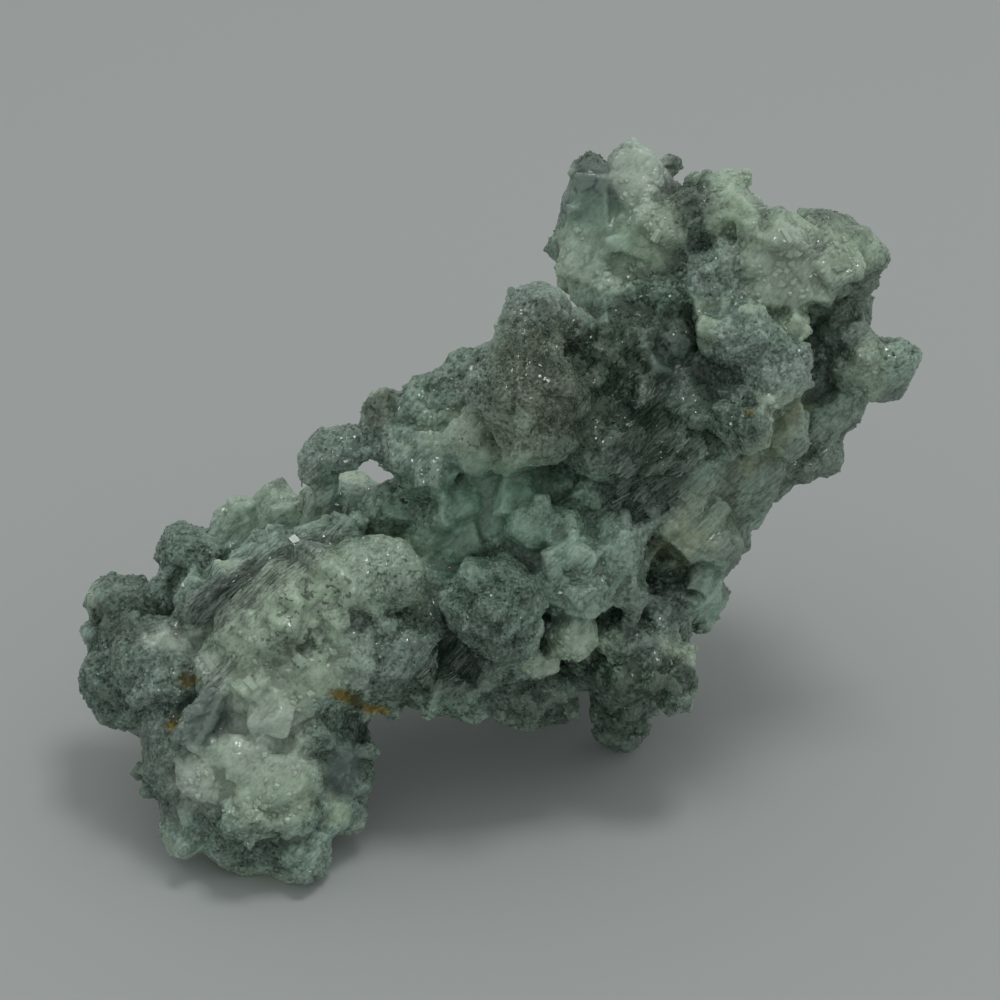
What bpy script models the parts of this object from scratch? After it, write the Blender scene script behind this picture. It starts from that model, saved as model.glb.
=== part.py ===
"""Rough prehnite: a hand specimen of intergrown crystal clusters, standing on three crystal feet.

The stone grew as one piece, so it is one solid. It is drawn the way it is looked at from the front:
each lump has a place across, up and near (towards the eye), in millimetres from the middle of the
view, and the eye looks down on the stone at VIEW_DOWN_DEG. Round lumps are fused into one skin and
roughened, flat-faced crystals are grown out of that skin and fused with it, and the feet are cut
flat on the ground.
"""

import math
import random

import bmesh
import bpy
import numpy as np
from mathutils import Euler, Matrix, Vector, noise

# Driving dimensions, in millimetres unless they say otherwise
VIEW_DOWN_DEG = 32.0
VIEW_DISTANCE = 350.0
VIEW_HEIGHT = 32.2
SKIN_STEP = 0.45
SKIN_TRIANGLES = 9700
CRUST_DEPTH = 0.6
CRUST_SIZE = 3.2
LEDGE_DEPTH = 1.0
LEDGE_SIZE = 5.0
SWELL_DEPTH = 0.8
SWELL_SIZE = 9.0
BACK_STARTS = 6.0
BACK_BLEND = 6.0
ROUND_UNEVENNESS = 0.05
BROKEN_UNEVENNESS = 0.16
FULL_TURN = 2 * math.pi
CRYSTAL_TAPER = (0.72, 0.95)
CRYSTAL_SLANT = 0.25
CRYSTAL_BEVEL = 0.3
CRYSTAL_LEAN = 0.6
CRYSTAL_SHOWS = -0.15
CRYSTAL_ROOT = 0.7
BLOCK_SCALE = 1.1
SIZE_SPREAD = (0.75, 1.25)
FLATNESS = (0.5, 1.0)
WINDOW_ACROSS = -13.4
WINDOW_UP = 2.2
WINDOW_CLEAR = 3.6
SEED = 23
MM = 0.001

# Round lumps: across, up, near, half width, half height, half depth, lean in degrees
CORE = [
    (-22, -16, -5, 10, 8, 9, 0),
    (-8, -10, -7, 10, 8.5, 9, 0),
    (4, -6, -8, 11, 10, 10, 0),
    (12, 4, -8, 11, 10, 10, 0),
    (20, 14, -7, 11.5, 11, 10, 0),
    (24, 21, -5, 9, 6.5, 8, 0),
    (12, -12.5, -9, 7.5, 7, 8, 0),
    (9, -7, -1, 4.5, 4.2, 4, 0),
    (-22, -6, -9, 7, 4, 5, 0),
    (-17, -3, -10, 4, 3, 4, 0),
]
BACK = [
    (8, -6, -21, 10, 9, 9, 0),
    (-10, -8, -18, 9, 7, 8, 0),
    (16, 7, -18, 10, 9, 8, 0),
    (-24, -10, -15, 7.5, 5.5, 7, 0),
    (24, 13, -15, 9, 9, 7, 0),
    (4, -11, -28, 6, 5.5, 6, 0),
    (3.8, -13.6, -32, 3.8, 4.6, 4, 0),
    (17, 17, -19, 6, 5, 5, 0),
    (29, 19, -12, 4.5, 5, 5, 0),
    (12, 12, -23, 5, 4, 4, 0),
    (-1, 3, -16, 6, 5, 5, 0),
    (20, -2, -21, 5, 4.5, 4.5, 0),
    (2, -2, -28, 4.5, 3.5, 4, 0),
    (-14, 0, -19, 4.5, 3.5, 4, 0),
    (-31, -6, -14, 4, 3.5, 4, 0),
    (11, 24, -7, 5, 6, 4.5, 0),
    (21, 27, -6, 5.5, 4.5, 4.5, 0),
]
UNDERSIDE = [
    (-6, -17, -12, 5.5, 4, 5, 0),
    (-14, -16, -9, 4.5, 4, 4.5, 0),
    (8, -15, -19, 4.5, 4, 4.5, 0),
    (19, -10, -13, 4.5, 4, 4, 0),
    (-28, -22, -9, 5, 4.5, 4.5, 0),
]
FRONT_LEG = [
    (-24.8, -27, -1, 10.0, 9.3, 7, 0),
    (-23, -19, 0, 8, 7, 6.5, 0),
    (-16.2, -26.5, -2.5, 3.6, 7.5, 5, 5),
    (-32.7, -26, -1.5, 3.2, 8.5, 5, 8),
    (-25.5, -34.6, 0, 4.2, 2.8, 3.2, 0),
    (-17.4, -31.5, -1, 2.4, 4.2, 3, -28),
]
PALE_ARCH = [
    (-25.5, -17, 2.5, 5, 5, 4.5, 0),
    (-23.5, -13.5, 3.5, 5.2, 4.8, 4.5, 0),
    (-20.5, -10.5, 4, 5, 4.5, 4.5, 0),
    (-17, -8.3, 4, 4.6, 4.0, 4.2, 0),
    (-13.5, -7.2, 4.5, 4.2, 3.9, 4, 0),
    (-10.8, -7.3, 5, 3.5, 3.7, 3.6, 0),
    (-16, -12.5, 2.5, 5, 4.5, 4, 0),
    (-20, -17, 2.5, 6, 5, 4.5, 0),
]
GREY_RIDGE = [
    (-29, -11, 0, 3.6, 3.2, 3.5, 0),
    (-26, -8.3, 0, 3.4, 2.6, 3.2, 20),
    (-22.5, -5.9, 0, 3.4, 2.3, 3, 25),
    (-18.5, -4.0, 0, 3.2, 2.1, 3, 25),
]
LEFT_NODULES = [
    (-34, -16.5, -1, 4.6, 5, 5, 0),
    (-37, -17.5, -4, 3.4, 3.8, 4, 0),
    (-38.8, -18.7, -7, 3.3, 4.1, 3.8, 20),
    (-35.2, -21.2, -4, 3, 2.8, 3.5, 0),
    (-40.4, -13.9, -8, 1.8, 1.6, 1.8, 0),
    (-38.4, -10.4, -8.5, 2.7, 2.6, 2.8, 0),
    (-35.6, -10.8, -8, 3.4, 3, 3.2, 0),
    (-32.5, -9.5, -7, 3.2, 2.4, 3, 0),
    (-31.8, -4.9, -6.5, 2.5, 2.6, 2.6, 0),
    (-29.6, -5.6, -6, 2.1, 2.1, 2, 0),
    (-30.2, -8.0, -6, 2.3, 2.6, 3, 0),
    (-37, -14, -6, 3, 3, 3, 0),
]
BRIDGE = [
    (-16.3, 5.0, 0, 3.3, 2.4, 2.4, 18),
    (-18.6, 3.4, 0.3, 1.7, 2.5, 1.8, -8),
    (-17.6, 1.4, -1.5, 1.8, 2.6, 2, 0),
    (-12.8, 4.9, 0, 2.4, 1.1, 1.3, 0),
    (-10.2, 4.9, 0, 2, 1.7, 1.8, 0),
]
KNOB = [
    (3.6, 18.7, 11, 3.7, 3.5, 3.5, 0),
    (2.4, 15.2, 11, 3.5, 3.2, 3.8, 0),
    (2.2, 10.8, 11, 5.3, 4.8, 4.6, 0),
    (3.2, 6.9, 9.5, 4.1, 3.7, 4.2, 0),
    (4.5, 10, 4, 5, 5.5, 6, 0),
    (8.0, 7.6, 3.5, 3.2, 3.6, 4, 0),
]
BROWN_DRUSE = [
    (9.5, 15, 3, 3.6, 3.6, 4, 0),
    (13, 15.5, 3, 3.2, 3, 3.5, 0),
    (10.8, 5.3, 4, 4.2, 3.4, 3.6, 0),
    (14, 10, 1, 5, 5, 5, 0),
    (15, 5, 1.5, 5.5, 5, 4.5, 0),
    (19, 3, 0, 6, 4.5, 4.5, 35),
    (24, 6, -1, 4, 4, 4, 0),
]
MIDDLE = [
    (-4, 8, -3, 4.6, 4.6, 5, 0),
    (0, 11, -3, 4.2, 4.6, 5, 0),
    (-4.5, -0.5, -4, 5, 5, 5, 0),
    (2, 0.5, -3.5, 5.5, 5, 5, 0),
    (-6, -4, -3, 4.5, 4, 4, 0),
    (7, 1, -3, 4, 4.5, 4, 0),
    (-0.8, -9.7, 4, 4.9, 4.5, 4.2, 0),
    (0.5, -13, 3, 3.8, 3.2, 3.2, 0),
]
LOWER_EDGE = [
    (-10.6, -15.8, 2, 3.6, 4.4, 3.2, -30),
    (-13.5, -18.4, 0, 2.8, 2.6, 3, 0),
    (-14.2, -21.0, -2, 1.7, 1.8, 2, 0),
    (-6, -19, -1, 5.4, 2.9, 4, 0),
    (-3.6, -20.8, -2, 2.4, 1.8, 2.4, 0),
    (3.8, -19.4, -5, 4.7, 3.6, 5, 0),
    (-1, -17, -4, 5, 4, 5, 0),
    (1.5, -16, 1, 3.6, 2.2, 2.8, 0),
    (14, -16, -3, 4.5, 4.4, 4, 0),
    (18, -17.6, -3, 1.9, 3.2, 2.6, 0),
    (17.4, -20, -3, 2.0, 1.6, 2, 0),
    (12, -14, -1, 3, 3, 3, 0),
    (15.8, -10.5, -4, 3, 3, 3, 0),
    (17, -6.5, -7, 4, 4.5, 4, 0),
]
REAR_FOOT = [
    (12, -17, -11, 4.5, 4, 5, 0),
    (11.5, -20.2, -14, 4.2, 3.6, 4, 0),
    (11.6, -23.4, -17.5, 3.9, 3.4, 3.9, 0),
]
TOP_LOBES = [
    (9.3, 26.8, 0, 3.8, 7, 3.6, 0),
    (15.5, 26, 1.5, 4.5, 4.8, 4, 0),
    (21, 29.4, 4, 4.7, 3.2, 3.8, 0),
    (27.5, 25, 4.5, 5, 4.4, 4, 0),
    (31, 24, 3.5, 4.7, 4.2, 3.8, 0),
    (35.3, 24.7, 0, 3.4, 2.9, 3.5, 0),
    (28, 21.4, 4, 4.5, 2.4, 3.4, 0),
    (20.5, 21.8, 4, 3, 2.6, 3, 0),
    (11, 20.6, 1.5, 4.6, 3, 3.4, 0),
    (16, 20.4, 2, 4, 3, 3.6, 0),
    (23, 19.2, 3, 3.5, 2.4, 3, 0),
]
RIGHT_LUMPS = [
    (24.5, 15.8, 7, 4.3, 2.8, 3.6, 0),
    (27.5, 12.3, 6.5, 3.6, 3.2, 3.4, 0),
    (24.2, 8.2, 6, 2.9, 3.4, 3.2, 0),
    (28.6, 6.8, 2, 2.2, 3.6, 2.8, 0),
    (19.3, 9.5, 4, 2.8, 3.4, 3, 0),
    (24, 12, 1, 6, 6, 6, 0),
]
SLAB = [
    (34.2, 19.5, -4, 3.0, 6.5, 4, 0),
    (29.5, 5, -7, 3.2, 11.0, 3.4, -44),
    (23.6, -3.6, -7, 1.7, 3.4, 2.4, -25),
    (27, 9, -12, 7, 11, 5, -40),
    (35.6, 13.6, -3.5, 3.2, 2.8, 3, 0),
]

# Single crystals with flat faces: the same seven numbers
LEG_BLOCKS = [
    (-31.2, -33.8, 0, 2.7, 2.3, 2.5, 15),
    (-20.2, -35.6, 0, 3.2, 3.0, 3.4, 20),
    (-29.5, -27.5, 3.6, 2.4, 2.6, 2.2, 30),
    (-26.5, -25.5, 4.6, 2.8, 2.2, 2.2, 10),
    (-22.5, -28, 4.6, 3.4, 3.0, 2.4, -20),
    (-20, -31.5, 3.2, 2.6, 2.4, 2.4, 35),
    (-24.5, -32, 4.2, 3.0, 2.0, 2.2, 0),
]
REAR_BLOCKS = [
    (-26.0, -3.4, -10, 3.5, 3.0, 3, 0),
    (-21.6, -1.6, -11, 2.4, 2.9, 2.6, 10),
    (-17.6, -1.2, -9, 3.5, 3.4, 3, 25),
    (-14.4, -0.8, -8, 2.2, 2.2, 2.2, 0),
]
MIDDLE_BLOCKS = [
    (-15.3, -3.1, 0.5, 2.1, 1.9, 2, 45),
    (-11.2, -0.9, -3, 2.8, 3.1, 2.8, 20),
    (-11.8, 8.7, 0, 1.9, 2.3, 2, 0),
    (-10.8, 6.3, 0, 2, 1.8, 2, 30),
    (-8, 9.3, -1, 2.8, 3, 2.8, 0),
    (-5.8, 11, -1.5, 2.4, 2.3, 2.4, 20),
    (-3.0, 12.2, -1.5, 2.0, 2.3, 2.2, 0),
    (-0.9, 14.5, -1.5, 1.5, 1.6, 1.6, 30),
    (-7.3, 3.0, 1, 2.7, 2.7, 2.4, 0),
    (-2, 6.2, 2, 3.6, 3.2, 3, 15),
    (1.6, 4.8, 1.8, 3, 2.3, 2.6, 0),
    (7.0, -5.2, 3.5, 2.6, 2.4, 2.4, 10),
    (11.4, -5.6, 3, 2.6, 2.6, 2.4, 35),
    (8.8, -9.4, 4, 2.8, 2.4, 2.4, -15),
    (12.8, -9.2, 2.2, 2.0, 2.6, 2, 20),
    (5.4, -8.8, 3.2, 2.0, 2.3, 2, 0),
    (7.4, -13.6, 1.5, 2.4, 2.5, 2.3, 5),
    (3.2, -2.4, 2.2, 2.7, 2.4, 2.4, 30),
    (6.8, -2.2, 2.2, 2.3, 2.3, 2.2, 0),
    (12.4, -6, 0.5, 3, 3.1, 3, 0),
    (9.0, 0.4, 1.6, 2.3, 2.2, 2.2, 15),
    (11.2, -2.0, 1.8, 2.2, 2.0, 2.1, 40),
    (13.5, -2.8, 2, 1.8, 1.8, 1.8, 0),
]
RIGHT_BLOCKS = [
    (20.3, -4, -1, 4.0, 3, 3.4, -30),
    (20.4, -8.8, -2.5, 1.9, 2.9, 2, -20),
    (17.6, -2, 0, 3, 3, 3, 0),
    (25.6, 1.8, -1, 4.2, 2.8, 3, 45),
    (29.6, 17.5, 5, 1.3, 1.3, 1.3, 0),
    (38.8, 13.4, -2.5, 3.1, 2.7, 2.3, 0),
]
TOP_BLOCKS = [
    (14.0, 30.9, 1.5, 2.9, 4.3, 2.9, 5),
    (9.0, 33.3, -0.5, 1.8, 1.5, 1.7, 10),
    (17.2, 33.8, -1, 1.2, 0.9, 1.2, -30),
    (33.2, 27.6, -1.5, 3.0, 1.2, 1.9, -22),
]

ROUND_LUMPS = [PALE_ARCH, GREY_RIDGE, LEFT_NODULES, BRIDGE, KNOB, MIDDLE, TOP_LOBES]
BROKEN_LUMPS = [CORE, BACK, UNDERSIDE, FRONT_LEG, BROWN_DRUSE, LOWER_EDGE, REAR_FOOT, RIGHT_LUMPS, SLAB]
BLOCKS = [LEG_BLOCKS, REAR_BLOCKS, MIDDLE_BLOCKS, RIGHT_BLOCKS, TOP_BLOCKS]

# Fields of smaller crystals: across, up, near, reach, how many, half length, half width
CRYSTAL_FIELDS = [
    (-25, -27, 5, 8, 22, 2.0, 1.5),
    (-24, -35, 2, 6, 9, 1.9, 1.4),
    (-33, -24, 1, 7, 9, 1.7, 1.3),
    (-17, -27, 1, 5, 6, 1.8, 1.4),
    (-20, -12, 8, 8, 14, 1.7, 1.5),
    (-25, -7, 4, 7, 10, 1.8, 1.2),
    (-38, -16, -2, 7, 9, 1.7, 1.3),
    (-31, -7, -4, 5, 5, 1.6, 1.2),
    (-7, 8, 3, 7, 16, 1.9, 1.4),
    (-3, 0, 2, 6, 8, 2.2, 1.5),
    (-1, -10, 8, 5, 12, 1.5, 1.3),
    (-8, -18, 3, 7, 12, 1.9, 1.6),
    (4, -20, -2, 5, 7, 1.8, 1.4),
    (15, -16, 0, 6, 12, 1.8, 1.4),
    (3, 12, 13, 8, 12, 1.4, 1.3),
    (11, 12, 6, 7, 12, 1.7, 1.4),
    (18, 5, 3, 8, 14, 2.4, 1.2),
    (25, 12, 9, 7, 14, 1.7, 1.4),
    (21, -6, 0, 7, 10, 2.0, 1.4),
    (9, 27, 2, 8, 12, 2.2, 1.5),
    (16, 30, 3, 6, 10, 2.0, 1.4),
    (22, 28, 7, 6, 10, 1.8, 1.5),
    (31, 24, 6, 8, 16, 1.8, 1.6),
    (23, 19, 6, 7, 12, 1.7, 1.3),
    (36, 17, -4, 7, 9, 1.9, 1.4),
    (29, 4, -8, 9, 12, 2.0, 1.5),
    (8, -6, -28, 13, 34, 2.8, 2.1),
    (24, 14, -22, 13, 34, 2.8, 2.1),
    (-18, -8, -22, 13, 30, 2.7, 2.0),
    (12, 24, -8, 10, 18, 2.6, 1.8),
    (-4, -18, -14, 12, 18, 2.3, 1.9),
    (-30, -20, -10, 9, 14, 2.2, 1.8),
    (18, -8, -16, 10, 14, 2.3, 1.9),
]


def view_axes():
    """The directions across, up and near of the front view, in the stone's own frame."""
    down = math.radians(VIEW_DOWN_DEG)
    across = Vector((1, 0, 0))
    up = Vector((0, math.sin(down), math.cos(down)))
    near = Vector((0, -math.cos(down), math.sin(down)))
    return across, up, near


def seen_at(across_mm, up_mm, near_mm):
    """The point that the eye sees at this place, in metres."""
    across, up, near = view_axes()
    closer = (VIEW_DISTANCE - near_mm) / VIEW_DISTANCE
    flat = across * across_mm * closer + up * up_mm * closer
    return (flat + near * near_mm + Vector((0, 0, VIEW_HEIGHT))) * MM


def lump_matrix(lump):
    """Places a unit ball or block as one row of the lists above says."""
    across_mm, up_mm, near_mm, wide, tall, deep, lean = lump
    across, up, near = view_axes()
    view = Matrix((across, up, near)).transposed().to_4x4()
    turn = Matrix.Rotation(math.radians(lean), 4, "Z")
    size = Matrix.Diagonal((wide * MM, tall * MM, deep * MM, 1))
    return Matrix.Translation(seen_at(across_mm, up_mm, near_mm)) @ view @ turn @ size


def add_lump(mesh, lump, subdivisions, unevenness, dice):
    """A closed lump: finely divided and even it is round, coarse and uneven it is broken."""
    made = bmesh.ops.create_icosphere(mesh, subdivisions=subdivisions, radius=1)["verts"]
    for vertex in sorted(made, key=lambda vertex: vertex.co.to_tuple(4)):
        vertex.co *= 1 + dice.uniform(-unevenness, unevenness)
    bmesh.ops.transform(mesh, matrix=lump_matrix(lump), verts=made)


def add_crystal(mesh, place, sides, bevel, dice):
    """A prism with a slanted flat end, which fills the unit space of its place."""
    form = bmesh.new()
    taper = dice.uniform(*CRYSTAL_TAPER)
    bmesh.ops.create_cone(form, cap_ends=True, segments=sides, radius1=1, radius2=taper, depth=2)
    top = [edge for edge in form.edges if all(vertex.co.z > 0 for vertex in edge.verts)]
    slant = dice.uniform(-CRYSTAL_SLANT, CRYSTAL_SLANT)
    for vertex in form.verts:
        vertex.co.z += slant * vertex.co.x * (vertex.co.z > 0)
    if bevel:
        bmesh.ops.bevel(form, geom=top, offset=bevel, segments=1, affect="EDGES")
    bmesh.ops.transform(form, matrix=place, verts=form.verts)
    bmesh.ops.recalc_face_normals(form, faces=form.faces)
    data = bpy.data.meshes.new("crystal")
    form.to_mesh(data)
    form.free()
    mesh.from_mesh(data)
    bpy.data.meshes.remove(data)


def add_block(mesh, lump, dice):
    """A single crystal that shows a flat end towards the eye or upwards."""
    tilt = Euler((dice.uniform(-0.9, 0.1), dice.uniform(-0.5, 0.5), dice.uniform(0, FULL_TURN)))
    place = lump_matrix(lump) @ tilt.to_matrix().to_4x4() @ Matrix.Scale(BLOCK_SCALE, 4)
    add_crystal(mesh, place, dice.choice((4, 6, 6)), CRYSTAL_BEVEL, dice)


def in_field(point, field):
    across_mm, up_mm, near_mm, reach = field[:4]
    return (point - seen_at(across_mm, up_mm, near_mm)).length < reach * MM


def clear_of_window(point):
    """Whether a place leaves open the window under the bridge, which the front view sees through."""
    away = point - seen_at(WINDOW_ACROSS, WINDOW_UP, 0)
    across, up, _ = view_axes()
    return math.hypot(away.dot(across), away.dot(up)) > WINDOW_CLEAR * MM


def add_field(mesh, skin, field, dice):
    """Crystals that stand out of the skin at all angles, roots sunk into it."""
    many, half_length, half_width = field[4:]
    ground = [face for face in skin.polygons if in_field(face.center, field)]
    ground = [face for face in ground if clear_of_window(face.center)]
    ground.sort(key=lambda face: face.center.to_tuple(7))
    for face in dice.sample(ground, min(many, len(ground))):
        lean = Vector((dice.gauss(0, 1), dice.gauss(0, 1), dice.gauss(0, 1))) * CRYSTAL_LEAN
        axis = (face.normal + lean).normalized()
        long = half_length * dice.uniform(*SIZE_SPREAD) * MM
        wide = half_width * dice.uniform(*SIZE_SPREAD) * MM
        flat = wide * dice.uniform(*FLATNESS)
        turn = axis.to_track_quat("Z", "X").to_matrix().to_4x4()
        spin = Matrix.Rotation(dice.uniform(0, FULL_TURN), 4, "Z")
        root = Matrix.Translation(face.center + axis * long * CRYSTAL_SHOWS)
        size = Matrix.Diagonal((wide, flat, long, 1))
        add_crystal(mesh, root @ turn @ spin @ size, dice.choice((4, 4, 6)), 0, dice)


def lump_mass():
    """All lumps, and a root for each single crystal, as loose closed shells."""
    dice = random.Random(SEED)
    mesh = bmesh.new()
    for group in ROUND_LUMPS:
        for lump in group:
            add_lump(mesh, lump, 3, ROUND_UNEVENNESS, dice)
    for group in BROKEN_LUMPS:
        for lump in group:
            add_lump(mesh, lump, 2, BROKEN_UNEVENNESS, dice)
    for group in BLOCKS:
        for across_mm, up_mm, near_mm, wide, tall, deep, lean in group:
            root = [CRYSTAL_ROOT * half for half in (wide, tall, deep)]
            add_lump(mesh, (across_mm, up_mm, near_mm, *root, lean), 2, 0, dice)
    return mesh


def crystal_mass(skin):
    """All flat-faced crystals, as loose closed shells that reach into the skin."""
    dice = random.Random(SEED)
    mesh = bmesh.new()
    for group in BLOCKS:
        for lump in group:
            add_block(mesh, lump, dice)
    for field in CRYSTAL_FIELDS:
        add_field(mesh, skin, field, dice)
    return mesh


def new_object(name, mesh):
    """Turns an edit mesh into an object of the scene."""
    data = bpy.data.meshes.new(name)
    mesh.to_mesh(data)
    mesh.free()
    obj = bpy.data.objects.new(name, data)
    bpy.context.scene.collection.objects.link(obj)
    return obj


def applied(obj):
    """Replaces the object's mesh by what its modifiers make of it."""
    graph = bpy.context.evaluated_depsgraph_get()
    made = bpy.data.meshes.new_from_object(obj.evaluated_get(graph))
    obj.modifiers.clear()
    obj.data = made
    return obj


def fuse(obj):
    """One skin around everything that overlaps."""
    remesh = obj.modifiers.new("fuse", "REMESH")
    remesh.mode = "VOXEL"
    remesh.voxel_size = SKIN_STEP * MM
    return applied(obj)


def shell_of(start):
    """All vertices joined to this one by edges."""
    found = {start}
    edge_of_shell = [start]
    while edge_of_shell:
        vertex = edge_of_shell.pop()
        for edge in vertex.link_edges:
            other = edge.other_vert(vertex)
            if other not in found:
                found.add(other)
                edge_of_shell.append(other)
    return found


def keep_largest_shell(obj):
    """Drops the bubbles that are closed off inside the stone, and crumbs outside it."""
    mesh = bmesh.new()
    mesh.from_mesh(obj.data)
    left = set(mesh.verts)
    shells = []
    while left:
        shell = shell_of(next(iter(left)))
        left -= shell
        shells.append(shell)
    largest = max(shells, key=len)
    loose = [vertex for vertex in mesh.verts if vertex not in largest]
    bmesh.ops.delete(mesh, geom=loose, context="VERTS")
    mesh.to_mesh(obj.data)
    mesh.free()


def crust_height(point):
    """How far the crust stands out at a point: swells, stepped ledges, and angular grains."""
    swell = noise.noise(point / (SWELL_SIZE * MM)) * SWELL_DEPTH
    ledge = noise.cell(point / (LEDGE_SIZE * MM) + noise.noise_vector(point / (LEDGE_SIZE * MM)))
    distances, _ = noise.voronoi(point / (CRUST_SIZE * MM))
    grain = (0.45 - distances[0]) * 2 * CRUST_DEPTH
    return (swell + (ledge - 0.5) * LEDGE_DEPTH * back_share(point) + grain) * MM


def back_share(point):
    """0 on what the front view shows, 1 on the broken back."""
    near = view_axes()[2]
    behind = -(point - Vector((0, 0, VIEW_HEIGHT * MM))).dot(near) / MM
    return min(max((behind - BACK_STARTS) / BACK_BLEND, 0), 1)


def roughen(obj):
    """Raises the crust along the skin's normals."""
    mesh = bmesh.new()
    mesh.from_mesh(obj.data)
    mesh.normal_update()
    moved = [vertex.co + vertex.normal * crust_height(vertex.co) for vertex in mesh.verts]
    for vertex, place in zip(mesh.verts, moved, strict=True):
        vertex.co = place
    mesh.to_mesh(obj.data)
    mesh.free()


def thin_out(obj):
    """Fewer, larger facets, which follow the flat faces and keep the edges."""
    triangles = sum(len(face.vertices) - 2 for face in obj.data.polygons)
    fewer = obj.modifiers.new("facets", "DECIMATE")
    fewer.ratio = SKIN_TRIANGLES / triangles
    fewer.use_collapse_triangulate = True
    return applied(obj)


def grow_crystals(obj):
    """Grows the crystals out of the skin, and fuses them with it."""
    mesh = crystal_mass(obj.data)
    mesh.from_mesh(obj.data)
    mesh.to_mesh(obj.data)
    mesh.free()
    fuse(obj)


def cut_feet_flat(obj):
    """Cuts the worn tips of the feet off level with the ground."""
    mesh = bmesh.new()
    depth = 10 * MM
    bmesh.ops.create_cube(mesh, size=1, matrix=Matrix.Diagonal((0.2, 0.2, depth, 1)))
    bmesh.ops.translate(mesh, verts=mesh.verts, vec=(0, 0, -depth / 2))
    ground = new_object("ground", mesh)
    cut = obj.modifiers.new("ground", "BOOLEAN")
    cut.operation = "DIFFERENCE"
    cut.object = ground
    applied(obj)
    bpy.data.objects.remove(ground)


def centre_on_ground(obj):
    """Moves the origin to the middle of the stone's box, on the ground."""
    places = np.array([vertex.co for vertex in obj.data.vertices])
    low, high = places.min(axis=0), places.max(axis=0)
    shift = Vector((-(low[0] + high[0]) / 2, -(low[1] + high[1]) / 2, -low[2]))
    obj.data.transform(Matrix.Translation(shift))
    print("moved by", [round(value / MM, 2) for value in shift], "mm")
    print("size", [round(value / MM, 1) for value in high - low], "mm")


def prehnite_material():
    """Pale grey-green, waxy to glassy stone."""
    material = bpy.data.materials.new("prehnite")
    material.use_nodes = True
    shader = material.node_tree.nodes["Principled BSDF"]
    shader.inputs["Base Color"].default_value = (0.24, 0.33, 0.25, 1)
    shader.inputs["Roughness"].default_value = 0.5
    shader.inputs["Metallic"].default_value = 0.0
    return material


def main():
    for obj in list(bpy.data.objects):
        bpy.data.objects.remove(obj)
    noise.seed_set(SEED)
    stone = new_object("prehnite_specimen", lump_mass())
    fuse(stone)
    keep_largest_shell(stone)
    roughen(stone)
    grow_crystals(stone)
    keep_largest_shell(stone)
    thin_out(stone)
    cut_feet_flat(stone)
    keep_largest_shell(stone)
    centre_on_ground(stone)
    stone.data.materials.clear()
    stone.data.materials.append(prehnite_material())
    specimen = bpy.data.collections.new("rough_prehnite")
    bpy.context.scene.collection.children.link(specimen)
    bpy.context.scene.collection.objects.unlink(stone)
    specimen.objects.link(stone)
    print(len(stone.data.polygons), "faces")


if __name__ == "__main__":
    main()
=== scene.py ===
# %% [markdown]
# # A rough piece of prehnite
#
# This lesson dresses a plain solid as a mineral specimen: cloudy green crystals, glassy patches and
# a sparkling grey crust. The solid has the big forms already. Here we copy its mesh, make the copy
# finer, roughen it, and then cover it with many thousands of small crystals. The solid itself stays
# as it is, because other tools rely on it.

import math

import bmesh
import bpy
import numpy as np
from mathutils import Matrix, Vector, noise


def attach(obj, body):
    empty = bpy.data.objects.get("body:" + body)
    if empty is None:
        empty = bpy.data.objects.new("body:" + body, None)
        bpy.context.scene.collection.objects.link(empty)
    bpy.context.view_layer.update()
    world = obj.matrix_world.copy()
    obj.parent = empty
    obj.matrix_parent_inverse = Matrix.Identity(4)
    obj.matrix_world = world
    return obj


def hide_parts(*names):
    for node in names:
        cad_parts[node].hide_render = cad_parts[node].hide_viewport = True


MM = 0.001
NODE = "prehnite_specimen"
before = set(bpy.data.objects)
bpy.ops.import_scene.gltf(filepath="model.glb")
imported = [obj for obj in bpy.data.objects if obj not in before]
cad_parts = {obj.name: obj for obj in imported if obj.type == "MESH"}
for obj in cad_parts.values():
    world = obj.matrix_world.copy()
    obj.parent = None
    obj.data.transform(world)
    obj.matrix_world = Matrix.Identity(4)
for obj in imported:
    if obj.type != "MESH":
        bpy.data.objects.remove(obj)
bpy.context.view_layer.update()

# %% [markdown]
# ## The view
#
# Everything that differs over the stone, such as a pale crystal lobe or a dark hollow, is easiest to
# place the way we look at it: across, up and towards the eye, in millimetres from the middle of the
# view. The camera looks down on the stone from 350 mm away, with a long lens, so that near and far
# crystals keep nearly the same scale.

# %% Set up the view
VIEW_DOWN = math.radians(32)
VIEW_DISTANCE = 350.0
VIEW_WIDTH = 100.0
VIEW_MIDDLE = np.array((0.35, -4.28, 32.2))
SENSOR = 36.0
ACROSS = np.array((1.0, 0.0, 0.0))
UP = np.array((0.0, math.sin(VIEW_DOWN), math.cos(VIEW_DOWN)))
NEAR = np.array((0.0, -math.cos(VIEW_DOWN), math.sin(VIEW_DOWN)))


def seen(points):
    """Where points of the stone are in the view: across, up and near, in millimetres."""
    away = points / MM - VIEW_MIDDLE
    near = away @ NEAR
    wider = VIEW_DISTANCE / (VIEW_DISTANCE - near)
    return np.stack(((away @ ACROSS) * wider, (away @ UP) * wider, near), axis=1)


def make_camera():
    lens = bpy.data.cameras.new("camera")
    lens.sensor_width = SENSOR
    lens.lens = SENSOR * VIEW_DISTANCE / VIEW_WIDTH
    lens.clip_start = 10 * MM
    camera = bpy.data.objects.new("camera", lens)
    camera.matrix_world = Matrix.Translation((VIEW_MIDDLE + NEAR * VIEW_DISTANCE) * MM)
    camera.matrix_world @= Matrix((ACROSS, UP, NEAR)).transposed().to_4x4()
    bpy.context.scene.collection.objects.link(camera)
    bpy.context.scene.camera = camera
    return camera


camera = make_camera()
print("lens", camera.data.lens, "mm")

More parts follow.
